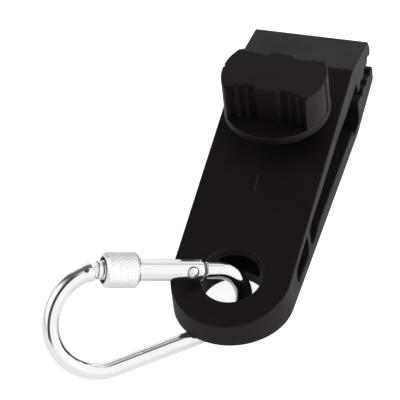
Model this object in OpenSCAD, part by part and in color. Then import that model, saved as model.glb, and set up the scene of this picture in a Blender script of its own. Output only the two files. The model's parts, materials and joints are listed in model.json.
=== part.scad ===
// Tarp clip: a moulded spring jaw with a thumb screw, hung on a small screw-lock carabiner.
// The clip lies along Y with its jaw towards +Y, its width is along X, and +Z is up.
// It rests on the kink under its lower jaw and on the carabiner's spine, which passes under the eye.
// Inside the file, sizes are set out from the eye's centre on the clip's flat lower face.

/* [Clip body] */
// Width of the clip, and the diameter of its round eye end
clip_w = 30; // [27:0.5:34]
// Distance from the eye's centre to the tip of the lower jaw
lower_reach = 82.2; // [78:0.2:90]
// Diameter of the eye's hole
eye_bore_d = 15.4; // [14.5:0.1:16.4]
// Thickness of the clip at the eye's centre
eye_t = 9.5; // [9:0.1:10.4]
// Angle between the two outer faces of the clip
face_slope = 10.9; // [10:0.1:12]
// Thickness of the lower arm
lower_arm_t = 4.8; // [4.2:0.1:5.6]
// Distance from the eye's centre to the front of the hinge web
web_y = 18.5; // [17.5:0.1:20]
// Thickness of the hinge web
web_t = 2; // [1.5:0.1:2.4]
// Distance from the eye's centre to the back end of the window
window_y = 5.5; // [4.5:0.1:7]
// Wall left under the window
window_floor = 3.3; // [2.6:0.1:4]
// Wall left over the window
window_roof = 2.4; // [2:0.1:2.8]
// Corner radius of the window
window_r = 1.7; // [1:0.1:2]
// Wall of the lower arm beside the hinge web
throat_floor = 3.3; // [2.6:0.1:4]
// Length of the thinner stretch beside the hinge web
throat_l = 8.5; // [7:0.1:11]

/* [Jaws] */
// Length of the bevel under the lower jaw's tip
lower_bevel_l = 17.7; // [14:0.1:20]
// Height of the lower jaw's tip edge over the lower face
lower_tip_z = 4; // [3:0.1:5]
// Height of the lower teeth over the lower face
lower_bite_z = 8.8; // [8:0.1:9]
// Length of the lower jaw block
lower_jaw_l = 15.2; // [13:0.1:16]
// Length of the relief behind the lower jaw block
relief_l = 6.2; // [4:0.1:8]
// Wall left under that relief
relief_floor = 2.6; // [2:0.1:3.4]
// Distance from the eye's centre to the tip of the upper jaw, along its face
upper_reach = 80.7; // [77:0.1:84]
// Length of the bevel on the upper jaw's tip
upper_bevel_l = 14.8; // [12:0.1:16]
// Drop of that bevel below the upper face
upper_bevel_drop = 6; // [4:0.1:7]
// Length of the upper jaw block
upper_jaw_l = 13.7; // [12:0.1:15]
// Depth of the upper teeth below the upper face
upper_bite_depth = 10.9; // [10.4:0.1:11]
// Thickness of the upper arm at its hinge end
arm_root_t = 2.7; // [2.4:0.1:3]
// Thickness of the upper arm at its jaw end
arm_end_t = 6.8; // [6:0.1:7.4]
// Chamfer along the inner edges of both tips
tip_chamfer = 1; // [0.5:0.1:1.5]
// Spacing of the teeth
tooth_pitch = 4; // [3.4:0.1:4.2]
// Radius of the round notches between the teeth
notch_r = 1; // [0.6:0.1:1.2]
// Distance from the lower jaw's tip to its first notch
lower_notch_set = 3.1; // [2.8:0.1:3.6]
// Distance from the upper jaw's tip to its first notch
upper_notch_set = 2.3; // [2.2:0.1:2.8]

/* [Thumb screw] */
// Distance from the eye's centre to the screw
knob_y = 46.9; // [45:0.1:49]
// Diameter of the knob's flange
flange_d = 26.9; // [24:0.1:28]
// Thickness of the flange
flange_t = 2.2; // [1.8:0.1:3]
// Height of the grip over the flange
grip_h = 10; // [8:0.5:14]
// Width of the grip at its waist
grip_w = 10.8; // [10.4:0.1:12]
// Radius of the grip's hollow sides
waist_r = 30; // [26:1:40]
// Width of the grip over its smooth pads
pad_span = 13.8; // [13:0.1:15]
// Length of the smooth pad in the middle of each side
pad_w = 6.2; // [5:0.1:7]
// Spacing of the grip's ribs
rib_pitch = 2.5; // [2.2:0.1:2.7]
// Radius of a rib
rib_r = 0.7; // [0.5:0.05:0.9]
// Turn of the grip at rest
knob_turn = -2.5; // [-10:0.5:10]
// Gap between the flange and the upper face at rest
knob_gap = 0.85; // [0.6:0.05:1.4]
// Diameter of the threaded stud
stud_d = 6; // [5:0.5:6.5]
// Diameter of the stud's collar, which the knob is moulded round
collar_d = 9; // [8:0.5:10]
// Height of the stud's collar
collar_h = 3; // [2:0.5:4]
// Diameter of the brass thread insert
insert_d = 8.6; // [8.2:0.1:9.4]
// Diameter of the boss round the insert
boss_d = 13; // [12:0.5:15]
// Height of the boss over the lower arm
boss_h = 4.2; // [3:0.1:4.6]

/* [Carabiner] */
// Diameter of the carabiner's rod
wire_d = 4.2; // [3.8:0.1:4.4]
// Radius of the wide end, at the middle of the rod
loop_r = 12.6; // [11.5:0.1:14]
// Distance between the centres of the wide and narrow ends
loop_l = 29.5; // [28:0.1:34]
// Slack of the narrow end round the eye
eye_slack = 0.4; // [0.4:0.05:1]
// Gap between the spine and the eye's lower face
eye_play = 0.12; // [0.1:0.02:0.4]
// Lean of the loop from lying flat
loop_lean = 62.9; // [60:0.1:66]
// Heading of the loop, from the narrow end's side
loop_heading = 35.5; // [25:0.5:60]
// Distance of the narrow end's centre inside the eye's wall
hang_inset = 2.63; // [2.4:0.01:3]
// Direction of the narrow end's centre from the eye's centre
hang_azimuth = 231; // [225:1:250]

/* [Gate] */
// Diameter of the gate
gate_d = 5.1; // [4.8:0.1:5.2]
// Distance from the narrow end to the gate's rivet
rivet_set = 7.3; // [6.8:0.1:8.4]
// Diameter of the rivet
rivet_d = 2; // [1.6:0.1:2.2]
// Diameter of the rivet's heads
rivet_head_d = 2.9; // [2.4:0.1:3]
// Thickness of the frame's hinge tongue
tongue_t = 1.9; // [1.5:0.1:2.1]
// Half height of the tongue's flat end, which works the plunger
cam_h = 1.5; // [1.2:0.1:1.7]
// Distance from the rivet to that flat end
cam_l = 2; // [1.8:0.1:2.4]
// Part of the wide end's turn that is cut away for the gate's tip
nose_turn = 13.6; // [10:0.2:18]
// Diameter of the nose, thicker than the rod
nose_d = 5; // [4.6:0.1:5.2]
// Length of the nose
nose_l = 2.2; // [2.2:0.1:3]
// Diameter of the gate's tip
tip_d = 4.6; // [4.2:0.1:4.8]
// Diameter of the plunger
plunger_d = 2.3; // [2:0.1:2.6]
// Length of the plunger
plunger_l = 2.2; // [1.8:0.1:3]
// Length of the gate's spring
spring_l = 6.2; // [5:0.1:8]
// Diameter of the spring's wire
spring_wire_d = 0.4; // [0.3:0.05:0.45]
// Diameter of the lock sleeve
sleeve_d = 8.8; // [7.8:0.1:9.2]
// Length of the lock sleeve
sleeve_l = 8.6; // [8:0.1:9.4]
// Distance from the narrow end to the lock sleeve
sleeve_set = 20.9; // [20.2:0.1:21.1]
// Diameter of the wide mouth at the sleeve's nose end
mouth_d = 6.4; // [5.8:0.1:6.6]
// Depth of that mouth
mouth_l = 2; // [1:0.1:3]

/* [Hidden] */
$fn = 64;
plastic = "#1f1c1c";
alloy = "#d9dadd";
steel = "#b9bcc0";
brass = "#b08d4a";
// How far every cut runs past the face that it opens
overrun = 1;

// Fits
hinge_play = 0.06;
press_gap = 0.02;
thread_play = 0.05;
turn_play = 0.06;
arm_hole_play = 1;
slot_play = 0.12;
gate_gap = 0.3;
hinge_gap = 0.8;
gate_round = 0.45;
plunger_gap = 0.03;
plunger_play = 0.06;
sleeve_play = 0.07;

// Clip body
eye_r = clip_w / 2;
kink_y = lower_reach - lower_bevel_l;
lower_jaw_y = lower_reach - lower_jaw_l;
tall = upper_reach;
function face_z(y) = eye_t + y * tan(face_slope);
roof_drop = window_roof / cos(face_slope);
web_back_y = web_y - web_t;

// Hinge between body and upper jaw, on the middle of the upper arm's root
hinge_r = arm_root_t / 2;
hinge_inset = 0.1;
hinge_y = web_y - hinge_inset;
hinge_z = face_z(hinge_y) - hinge_r / cos(face_slope);
lip_share = 0.35;
// Radius of the upper arm's round root, a little under half the arm's thickness there
root_share = 0.92;
lip_y = hinge_y - lip_share * hinge_r;

// Upper jaw, set out along its own outer face
hinge_s = hinge_y * cos(face_slope) + (hinge_z - eye_t) * sin(face_slope);
crease_s = upper_reach - upper_bevel_l;
upper_jaw_s = upper_reach - upper_jaw_l;
arm_l = upper_jaw_s - hinge_s;
// Stations under the upper arm: share of its length, then share of its growth in thickness
arm_under_shares = [[1, 1], [0.77, 0.78], [0.61, 0.44], [0.19, 0.2], [0, 0]];

// Thumb screw
knob_foot_z = face_z(knob_y + flange_d / 2) + knob_gap;
screw_turns = 2.75;
thread_pitch = 1;
screw_travel = screw_turns * thread_pitch;
tip_keep = 0.7;
stud_tip_z = screw_travel + tip_keep;
collar_z = 3;
grip_inset = 0.15;
ribs_a_side = 3;
notch_depth = 0.8;
boss_top_z = lower_arm_t + boss_h;
insert_base_z = 0.5;

// Carabiner loop: two ends joined by straight tangents, the gate above and the spine below
wire_r = wire_d / 2;
narrow_r = (eye_t + wire_d) / 2 + eye_slack;
taper = asin((loop_r - narrow_r) / loop_l);
straight_l = loop_l * cos(taper);
// The straights are drawn a hair thinner than the bends and run a little way into them
bend_lap = 0.5;
bend_step = 0.03;
straight_d = wire_d - 2 * bend_step;
loop_dip = atan(tan(taper) * sin(loop_lean));
hang_r = eye_bore_d / 2 - hang_inset;
// Height of the narrow end's centre at which the spine runs level just under the eye
hang_z = narrow_r * (sin(taper) * sin(loop_dip) + cos(taper) * cos(loop_dip) * sin(loop_lean))
    - wire_r - eye_play;
hang_point = [hang_r * cos(hang_azimuth), hang_r * sin(hang_azimuth), hang_z];
// Directions of the loop's length and height in the clip's frame
loop_u = [cos(loop_heading) * cos(loop_dip), sin(loop_heading) * cos(loop_dip), -sin(loop_dip)];
loop_v = [cos(loop_heading) * sin(loop_dip) * sin(loop_lean) - sin(loop_heading) * cos(loop_lean),
    sin(loop_heading) * sin(loop_dip) * sin(loop_lean) + cos(loop_heading) * cos(loop_lean),
    cos(loop_dip) * sin(loop_lean)];

// Gate, along its own line: the narrow end is at zero and the nose lies towards -X
gate_end_r = gate_d / 2 + gate_round;
stub_l = rivet_set - gate_end_r - hinge_gap;
nose_x = straight_l + (loop_r - nose_d / 2) * sin(nose_turn);
nose_at = 90 - taper + nose_turn;
nose_arc = 360 * nose_l / (2 * PI * loop_r);
tip_x = nose_x - gate_gap;
tube_x = sleeve_set + sleeve_l;
latch_l = 1.8;
latch_t = 1.2;
latch_rise = 0.6;
latch_drop = 1.6;
latch_w = latch_t + 2 * slot_play;
latch_cut = 2 * wire_d;
slot_w = tongue_t + 2 * slot_play;
slot_l = norm([cam_l, cam_h]) + slot_play;
plunger_x = rivet_set + cam_l + plunger_gap;
spring_x = plunger_x + plunger_l + plunger_gap;
bore_end_x = spring_x + spring_l + plunger_gap;
bore_d = plunger_d + 2 * plunger_play;
spring_r = bore_d / 2 - spring_wire_d;
spring_turns = 5;
head_h = 0.45;
head_seat = 0.3;
sleeve_chamfer = 0.6;

// Rest on the table: the clip leans on its kink and on the rod under the eye
touch_y = hang_point[1] + narrow_r * (sin(taper) * loop_u[1] - cos(taper) * loop_v[1]);
rest_tilt = asin((wire_d + eye_play) / (kink_y - touch_y));
function up(v) = v[2] * cos(rest_tilt) - v[1] * sin(rest_tilt);
function along(v) = v[1] * cos(rest_tilt) + v[2] * sin(rest_tilt);
rod_low = up(hang_point) - narrow_r * norm([up(loop_u), up(loop_v)]) - wire_r;
rest_lift = max(kink_y * sin(rest_tilt), -rod_low);
wide_centre = hang_point - loop_l * loop_u;
left_x = wide_centre[0] - loop_r * norm([loop_u[0], loop_v[0]]) - wire_r;
near_y = along(wide_centre) - loop_r * norm([along(loop_u), along(loop_v)]) - wire_r;
far_y = along([0, lower_reach, lower_bite_z - tip_chamfer]);
rest_x = -(left_x + eye_r) / 2;
rest_y = -(near_y + far_y) / 2;

// Places its children, set out on the clip's lower face, as the clip lies on the table
module seat() {
    translate([rest_x, rest_y, rest_lift]) rotate([-rest_tilt, 0, 0]) children();
}

// Places its children on the thumb screw's axis, at the flange's foot
module on_screw() {
    seat() translate([0, knob_y, knob_foot_z]) children();
}

// Places its children in the carabiner's plane, about the centre of the narrow end
module hang() {
    seat() translate(hang_point) rotate([loop_lean, loop_dip, loop_heading]) children();
}

// Places its children on the gate's line
module on_gate() {
    hang() rotate([0, 0, -taper]) translate([0, narrow_r, 0]) children();
}

// Extrudes a side view, drawn in Y and Z, across a width
module across(width) {
    rotate([90, 0, 90]) translate([0, 0, -width / 2]) linear_extrude(width) children();
}

// A rod along the gate's line between two distances from the narrow end
module gate_rod(d, from, to) {
    translate([-to, 0, 0]) rotate([0, 90, 0]) cylinder(d = d, h = to - from);
}

function unit(v) = v / norm(v);
function half_angle(p, a, b) = acos(unit(a - p) * unit(b - p)) / 2;

// A convex outline with every corner rounded by true arcs
module rounded(points, r) {
    n = len(points);
    function before(i) = points[(i + n - 1) % n];
    function after(i) = points[(i + 1) % n];
    function half(i) = half_angle(points[i], before(i), after(i));
    function touch(i, q) = points[i] + unit(q - points[i]) * r / tan(half(i));
    polygon([for (i = [0 : n - 1]) each [touch(i, before(i)), touch(i, after(i))]]);
    for (i = [0 : n - 1]) {
        inward = unit(unit(before(i) - points[i]) + unit(after(i) - points[i]));
        translate(points[i] + inward * r / sin(half(i))) circle(r = r);
    }
}

// Side view of the eye block, up to the hinge web
module eye_side() {
    polygon([
        [-eye_r, 0],
        [web_y, 0],
        [web_y, face_z(web_y)],
        [-eye_r, face_z(-eye_r)]]);
}

// Side view of the lower arm and its jaw
module lower_arm_side() {
    polygon([
        [0, 0],
        [kink_y, 0],
        [lower_reach, lower_tip_z],
        [lower_reach, lower_bite_z - tip_chamfer],
        [lower_reach - tip_chamfer, lower_bite_z],
        [lower_jaw_y, lower_bite_z],
        [lower_jaw_y, relief_floor],
        [lower_jaw_y - relief_l, relief_floor],
        [lower_jaw_y - relief_l, lower_arm_t],
        [web_y + throat_l, lower_arm_t],
        [web_y + throat_l / 2, throat_floor],
        [0, throat_floor]]);
}

// Fillet where the web rises from the lower arm
module web_fillet_side() {
    translate([web_y, throat_floor]) difference() {
        square(web_t);
        translate([web_t, web_t]) circle(r = web_t);
    }
}

// Side view of the window behind the web
module window_side() {
    rounded([
        [window_y, window_floor],
        [web_back_y, window_floor],
        [web_back_y, face_z(web_back_y) - roof_drop],
        [window_y, face_z(window_y) - roof_drop]], window_r);
}

// A row of round notches between teeth, cut along a line from the tip backwards
module notches(first, last, height) {
    for (y = [first : -tooth_pitch : last + notch_r])
        translate([y, height]) circle(r = notch_r);
}

// Plan of the clip: a round eye end and straight sides
module clip_plan() {
    linear_extrude(tall, center = true) {
        circle(d = clip_w);
        translate([-eye_r, 0]) square([clip_w, lower_reach + overrun]);
    }
}

// Seat of the upper jaw's round root, with the thin lip over it trimmed
module hinge_seat_side() {
    translate([hinge_y, hinge_z]) circle(r = hinge_r + hinge_play);
    translate([lip_y, hinge_z]) square([web_y - lip_y + overrun, arm_root_t]);
}

module clip_body() {
    color(plastic) seat() difference() {
        union() {
            intersection() {
                clip_plan();
                across(clip_w) difference() {
                    union() {
                        eye_side();
                        lower_arm_side();
                        web_fillet_side();
                    }
                    window_side();
                    hinge_seat_side();
                    notches(lower_reach - lower_notch_set, lower_jaw_y, lower_bite_z);
                }
            }
            translate([0, knob_y, 0]) cylinder(d = boss_d, h = boss_top_z);
        }
        translate([0, 0, -overrun]) cylinder(d = eye_bore_d, h = tall);
        translate([0, knob_y, -overrun]) cylinder(d = insert_d + 2 * press_gap, h = tall);
    }
}

// Side view of the upper jaw, along its outer face
module upper_jaw_side() {
    difference() {
        polygon(concat([
            [hinge_s, 0],
            [crease_s, 0],
            [upper_reach - tip_chamfer / 2, -upper_bevel_drop],
            [upper_reach, -upper_bite_depth + 2 * tip_chamfer],
            [upper_reach - tip_chamfer, -upper_bite_depth],
            [upper_jaw_s, -upper_bite_depth]],
            [for (s = arm_under_shares)
                [hinge_s + s[0] * arm_l, -arm_root_t - s[1] * (arm_end_t - arm_root_t)]]));
        notches(upper_reach - upper_notch_set, upper_jaw_s, -upper_bite_depth);
    }
}

// Extrudes a side view, drawn along the upper face and down from it, across the clip's width
module across_face() {
    across(clip_w) translate([0, eye_t]) rotate(face_slope) children();
}

module upper_jaw() {
    color(plastic) seat() difference() {
        union() {
            across_face() upper_jaw_side();
            across_face() translate([hinge_s, -hinge_r]) circle(r = root_share * hinge_r);
        }
        translate([0, knob_y, 0]) cylinder(d = stud_d + 2 * arm_hole_play, h = tall);
    }
}

module thread_insert() {
    color(brass) seat() translate([0, knob_y, insert_base_z]) difference() {
        cylinder(d = insert_d, h = boss_top_z - insert_base_z);
        translate([0, 0, -overrun]) cylinder(d = stud_d + 2 * thread_play, h = tall);
    }
}

// The stud with its collar, grown all round by a gap
module stud_shape(gap) {
    shank_l = knob_foot_z - stud_tip_z;
    translate([0, 0, -shank_l]) cylinder(d = stud_d + 2 * gap, h = shank_l + collar_z + collar_h);
    translate([0, 0, collar_z - gap]) cylinder(d = collar_d + 2 * gap, h = collar_h + 2 * gap);
}

module clamp_stud() {
    color(steel) on_screw() stud_shape(0);
}

// Half the grip's width between its hollow sides, at a distance along it from its middle
function waist_at(along) = grip_w / 2 + waist_r - sqrt(waist_r * waist_r - along * along);

// Grip in plan: a waisted bar with round ends, smooth pads and ribs
module grip_plan() {
    grip_d = flange_d - 2 * grip_inset;
    intersection() {
        circle(d = grip_d);
        union() {
            difference() {
                square(flange_d, center = true);
                for (side = [-1, 1])
                    translate([0, side * (grip_w / 2 + waist_r)]) circle(r = waist_r);
            }
            square([pad_w, pad_span], center = true);
            for (side = [-1, 1], end = [-1, 1], i = [1 : ribs_a_side])
                let (along = pad_w / 2 + i * rib_pitch)
                    translate([end * along, side * waist_at(along)]) circle(r = rib_r);
        }
    }
}

module clamp_knob() {
    color(plastic) on_screw() rotate(knob_turn) difference() {
        union() {
            cylinder(d = flange_d, h = flange_t);
            linear_extrude(flange_t + grip_h) difference() {
                grip_plan();
                for (end = [-1, 1])
                    translate([end * (flange_d / 2 - grip_inset), 0])
                        rotate(45) square(notch_depth * sqrt(2), center = true);
            }
        }
        stud_shape(turn_play);
    }
}

// A bent stretch of the carabiner's rod
module rod_bend(r, from, to, d = wire_d) {
    rotate(from) rotate_extrude(angle = to - from) translate([r, 0]) circle(d = d);
}

module carabiner_frame() {
    color(alloy) difference() {
        union() {
            hang() {
                translate([-loop_l, 0, 0]) {
                    rod_bend(loop_r, nose_at + nose_arc / 2, 270 + taper);
                    rod_bend(loop_r, nose_at, nose_at + nose_arc, nose_d);
                }
                rod_bend(narrow_r, taper - 90, 90 - taper);
                rotate(taper) translate([0, -narrow_r, 0])
                    gate_rod(straight_d, -bend_lap, straight_l + bend_lap);
            }
            on_gate() {
                gate_rod(straight_d, -bend_lap, stub_l);
                translate([-rivet_set - cam_l, -cam_h, -tongue_t / 2])
                    cube([rivet_set + cam_l - stub_l / 2, 2 * cam_h, tongue_t]);
            }
        }
        on_gate() {
            translate([-rivet_set, 0, 0]) cylinder(d = rivet_d + 2 * turn_play, h = tall, center = true);
            // Slot in the nose, open towards the spine, that takes the gate's latch
            translate([-tip_x - latch_l - gate_gap, latch_rise + gate_gap - latch_cut, -latch_w / 2])
                cube([latch_l + 2 * gate_gap + wire_d, latch_cut, latch_w]);
        }
    }
}

module gate_arm() {
    color(alloy) on_gate() difference() {
        union() {
            gate_rod(gate_d, rivet_set, tube_x);
            intersection() {
                gate_rod(gate_d, rivet_set - gate_end_r, tube_x);
                translate([-rivet_set, 0, 0]) cylinder(r = gate_end_r, h = tall, center = true);
            }
            gate_rod(tip_d, tube_x - bend_lap, tip_x);
            translate([-tip_x - latch_l, -latch_drop, -latch_t / 2])
                cube([latch_l + overrun, latch_drop + latch_rise, latch_t]);
        }
        translate([-rivet_set - slot_l, -tall / 2, -slot_w / 2]) cube([tall, tall, slot_w]);
        gate_rod(bore_d, rivet_set, bore_end_x);
        translate([-rivet_set, 0, 0]) {
            cylinder(d = rivet_d + 2 * press_gap, h = tall, center = true);
            for (side = [0, 1])
                mirror([0, 0, side]) translate([0, 0, gate_d / 2 - head_seat])
                    cylinder(d = rivet_head_d + 2 * press_gap, h = tall);
        }
    }
}

module gate_rivet() {
    color(steel) on_gate() translate([-rivet_set, 0, 0]) {
        cylinder(d = rivet_d, h = gate_d, center = true);
        for (side = [0, 1])
            mirror([0, 0, side]) translate([0, 0, gate_d / 2 - head_seat])
                cylinder(d = rivet_head_d, h = head_h);
    }
}

module gate_plunger() {
    color(steel) on_gate() gate_rod(plunger_d, plunger_x, plunger_x + plunger_l);
}

// A round wire wound along the gate's line, as one closed tube
module coil(mean_r, wire, length, turns) {
    sides = 6;
    rings_a_turn = 12;
    rings = turns * rings_a_turn;
    run = length - wire;
    function ring(i) = [for (k = [0 : sides - 1])
        let (bend = 360 * i / rings_a_turn, turn = 360 * k / sides, r = mean_r + wire / 2 * cos(turn))
        [-wire / 2 - run * i / rings + wire / 2 * sin(turn), r * cos(bend), r * sin(bend)]];
    function at(i, k) = i * sides + k % sides;
    polyhedron(
        points = [for (i = [0 : rings]) each ring(i)],
        faces = concat(
            [[for (k = [0 : sides - 1]) sides - 1 - k]],
            [[for (k = [0 : sides - 1]) at(rings, k)]],
            [for (i = [0 : rings - 1], k = [0 : sides - 1]) each [
                [at(i, k), at(i, k + 1), at(i + 1, k + 1)],
                [at(i, k), at(i + 1, k + 1), at(i + 1, k)]]]));
}

module gate_spring() {
    color(steel) on_gate() translate([-spring_x, 0, 0])
        coil(spring_r, spring_wire_d, spring_l, spring_turns);
}

module lock_sleeve() {
    inner_r = gate_d / 2 + sleeve_play;
    outer_r = sleeve_d / 2;
    color(alloy) on_gate() translate([-sleeve_set, 0, 0]) rotate([0, -90, 0])
        rotate_extrude() polygon([
            [inner_r, 0],
            [outer_r - sleeve_chamfer, 0],
            [outer_r, sleeve_chamfer],
            [outer_r, sleeve_l - sleeve_chamfer],
            [outer_r - sleeve_chamfer, sleeve_l],
            [mouth_d / 2, sleeve_l],
            [mouth_d / 2, sleeve_l - mouth_l],
            [inner_r, sleeve_l - mouth_l]]);
}

clip_body();
upper_jaw();
thread_insert();
clamp_stud();
clamp_knob();
carabiner_frame();
gate_arm();
gate_rivet();
gate_plunger();
gate_spring();
lock_sleeve();
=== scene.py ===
# %% [markdown]
# # A tarp clip with a thumb screw and a carabiner
# The clip is one black nylon moulding: a round eye, a window, a thin web and two long arms that end in
# toothed jaws. A thumb screw pulls the arms together, and a polished carabiner hangs in the eye. This
# lesson dresses the imported solids of that clip: each step says what a piece is on the real object, how
# it could be made, and why it is made this way here. The solids load first, and their box is kept to be
# printed beside the dressed object's box at the end.

# %% Load the solids
import json
import math
from functools import partial

import bmesh
import bpy
from mathutils import Matrix, Vector
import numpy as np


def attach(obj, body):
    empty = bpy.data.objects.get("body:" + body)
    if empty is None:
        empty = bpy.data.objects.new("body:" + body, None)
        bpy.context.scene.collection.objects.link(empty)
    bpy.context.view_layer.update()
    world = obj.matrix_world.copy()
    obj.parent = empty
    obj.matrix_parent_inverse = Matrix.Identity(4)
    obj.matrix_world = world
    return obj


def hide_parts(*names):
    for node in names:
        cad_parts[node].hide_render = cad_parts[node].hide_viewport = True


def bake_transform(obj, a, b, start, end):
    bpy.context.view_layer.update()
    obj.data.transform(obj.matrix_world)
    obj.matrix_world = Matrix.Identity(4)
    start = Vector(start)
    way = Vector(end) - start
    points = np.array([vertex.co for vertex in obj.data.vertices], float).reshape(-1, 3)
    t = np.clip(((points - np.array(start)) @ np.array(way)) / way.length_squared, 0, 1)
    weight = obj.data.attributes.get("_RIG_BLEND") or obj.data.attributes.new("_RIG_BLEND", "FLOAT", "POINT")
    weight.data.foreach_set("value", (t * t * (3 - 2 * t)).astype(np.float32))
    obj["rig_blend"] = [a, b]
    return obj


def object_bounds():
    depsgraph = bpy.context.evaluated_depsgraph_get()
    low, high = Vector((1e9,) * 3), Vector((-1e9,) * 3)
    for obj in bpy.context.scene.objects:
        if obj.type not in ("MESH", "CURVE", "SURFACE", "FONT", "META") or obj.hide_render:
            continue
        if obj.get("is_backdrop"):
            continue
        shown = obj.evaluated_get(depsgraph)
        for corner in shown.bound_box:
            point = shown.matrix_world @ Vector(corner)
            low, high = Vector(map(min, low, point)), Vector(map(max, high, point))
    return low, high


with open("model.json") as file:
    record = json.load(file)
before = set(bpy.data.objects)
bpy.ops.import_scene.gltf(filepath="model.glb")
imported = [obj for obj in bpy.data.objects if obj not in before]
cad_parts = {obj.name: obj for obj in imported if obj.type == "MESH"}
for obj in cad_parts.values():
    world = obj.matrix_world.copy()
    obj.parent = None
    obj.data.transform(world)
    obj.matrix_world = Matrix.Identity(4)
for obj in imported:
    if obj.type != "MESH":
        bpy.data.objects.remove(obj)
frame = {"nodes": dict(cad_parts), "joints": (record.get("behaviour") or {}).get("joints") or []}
cad_box = [list(corner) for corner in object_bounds()]
joints = {joint["name"]: joint for joint in frame["joints"]}
print("solids:", sorted(frame["nodes"]))

# %% [markdown]
# ## The camera
# The photograph was taken from the front right, looking down at about 45 degrees, with a long lens: the
# clip's sides stay nearly parallel. A camera could be aimed at a target empty, but three plain angles
# are easier to read and to repeat. The image is square, 400 by 400, so the sensor width alone sets the
# view.

# %% Set the camera


def add_object(name, data):
    """A new object in the scene."""
    made = bpy.data.objects.new(name, data)
    bpy.context.scene.collection.objects.link(made)
    return made


photo_camera = add_object("photo_camera", bpy.data.cameras.new("photo_camera"))
photo_camera.location = (0.20245675, -0.50208684, 0.57917438)
photo_camera.rotation_euler = [math.radians(turn) for turn in (43.33219148, 6.12544705, 15.80759843)]
photo_camera.data.lens = 283.07575
photo_camera.data.sensor_width = 36
photo_camera.data.clip_start = 0.01
photo_camera.data.clip_end = 20
bpy.context.scene.camera = photo_camera
print("camera:", photo_camera.data.lens, "mm lens")

# %% [markdown]
# ## Working frames
# The clip leans a few degrees where it rests on the rod, and the gate hangs at a slant. Drawing in such
# a lean is hard, so each piece is drawn in millimetres in its own straight frame and moved into place
# at the end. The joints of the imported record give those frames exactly: the eye's axis for the clip,
# the screw's for the knob, and the gate's rivet and its spring's line for the gate. The carabiner's
# loop lies in the gate's plane, turned by the taper of its straights.

# %% Find the frames of the clip, the screw, the gate and the loop
MM = 0.001
RIVET_SET = 7.3
LOOP_R = 12.6
NARROW_R = 7.25
LOOP_L = 29.5
TAPER = math.asin((LOOP_R - NARROW_R) / LOOP_L)


def working_frame(origin, x, z):
    """A frame at origin, in metres, whose axes are x, z and their cross product."""
    x, z = Vector(x).normalized(), Vector(z).normalized()
    axes = Matrix((x, z.cross(x), z)).transposed().to_4x4()
    return Matrix.Translation(Vector(origin)) @ axes


eye, screw, rivet = joints["carabiner_swing"], joints["knob_turn"], joints["gate_swing"]
to_nose = Vector(joints["plunger_push"]["axis"])
clip_frame = working_frame(eye["pos_m"], (1, 0, 0), eye["axis"])
screw_frame = working_frame(screw["pos_m"], (1, 0, 0), screw["axis"])
hinge_end = Vector(rivet["pos_m"]) - RIVET_SET * MM * to_nose
gate_frame = working_frame(hinge_end, -to_nose, rivet["axis"])
loop_frame = gate_frame @ Matrix.Translation((0, -NARROW_R * MM, 0)) @ Matrix.Rotation(TAPER, 4, "Z")
print("loop taper:", round(math.degrees(TAPER), 2), "degrees")

# %% [markdown]
# ## Helpers for mesh pieces
# Moulded and turned pieces come from outlines: a list of corners, each with its own radius, is turned
# into a closed outline of true arcs, and then extruded or spun. Booleans cut the holes, and a Bevel
# that is weighted edge by edge softens what the mould softens. Weighted normals then keep the large
# faces flat beside the small bevels.

# %% Define outline, extrude, turn, carve, soften and place
MERGE, NEAR = 0.002, 0.01


def add_piece(name, verts, faces):
    """A new mesh object from points and faces, with its faces turned outwards."""
    mesh = bpy.data.meshes.new(name)
    mesh.from_pydata(verts, [], faces)
    work = bmesh.new()
    work.from_mesh(mesh)
    bmesh.ops.recalc_face_normals(work, faces=work.faces)
    work.to_mesh(mesh)
    work.free()
    return add_object(name, mesh)


def rounded_outline(corners, step=8):
    """A closed outline from corners (a, b, radius), with arcs of about step degrees a side."""
    points = []
    for i, (a, b, r) in enumerate(corners):
        here = Vector((a, b))
        if not r:
            points.append(here)
            continue
        back = (Vector(corners[i - 1][:2]) - here).normalized()
        ahead = (Vector(corners[(i + 1) % len(corners)][:2]) - here).normalized()
        half = back.angle(ahead) / 2
        centre = here + (back + ahead).normalized() * r / math.sin(half)
        first = here + back * r / math.tan(half) - centre
        last = here + ahead * r / math.tan(half) - centre
        start = math.atan2(first.y, first.x)
        turn = (math.atan2(last.y, last.x) - start + math.pi) % (2 * math.pi) - math.pi
        count = max(2, round(abs(math.degrees(turn)) / step))
        for k in range(count + 1):
            angle = start + turn * k / count
            points.append(centre + Vector((math.cos(angle), math.sin(angle))) * r)
    return points


def extruded(name, outline, low, high, axis):
    """A solid from an outline in Y and Z pushed along X, or in X and Y pushed along Z."""
    n = len(outline)
    if axis == "X":
        verts = [(h, p[0], p[1]) for h in (low, high) for p in outline]
    else:
        verts = [(p[0], p[1], h) for h in (low, high) for p in outline]
    sides = [(i, (i + 1) % n, n + (i + 1) % n, n + i) for i in range(n)]
    return add_piece(name, verts, [tuple(range(n))[::-1], tuple(range(n, 2 * n))] + sides)


def turned(name, profile, axis, sides=64, closed=False):
    """A turned solid from (along, radius) pairs; radius 0 closes an end, closed makes it a ring."""
    rows, verts = [], []
    for along, radius in profile:
        rows.append(list(range(len(verts), len(verts) + (sides if radius else 1))))
        for k in range(len(rows[-1])):
            angle = 2 * math.pi * k / sides
            across, up = radius * math.cos(angle), radius * math.sin(angle)
            verts.append((along, across, up) if axis == "X" else (across, up, along))
    faces = []
    for low, high in zip(rows, rows[1:] + (rows[:1] if closed else [])):
        for k in range(sides):
            ring = [
                low[k % len(low)], low[(k + 1) % len(low)], high[(k + 1) % len(high)],
                high[k % len(high)]]
            face = list(dict.fromkeys(ring))
            if len(face) > 2:
                faces.append(face)
    return add_piece(name, verts, faces)


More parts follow.
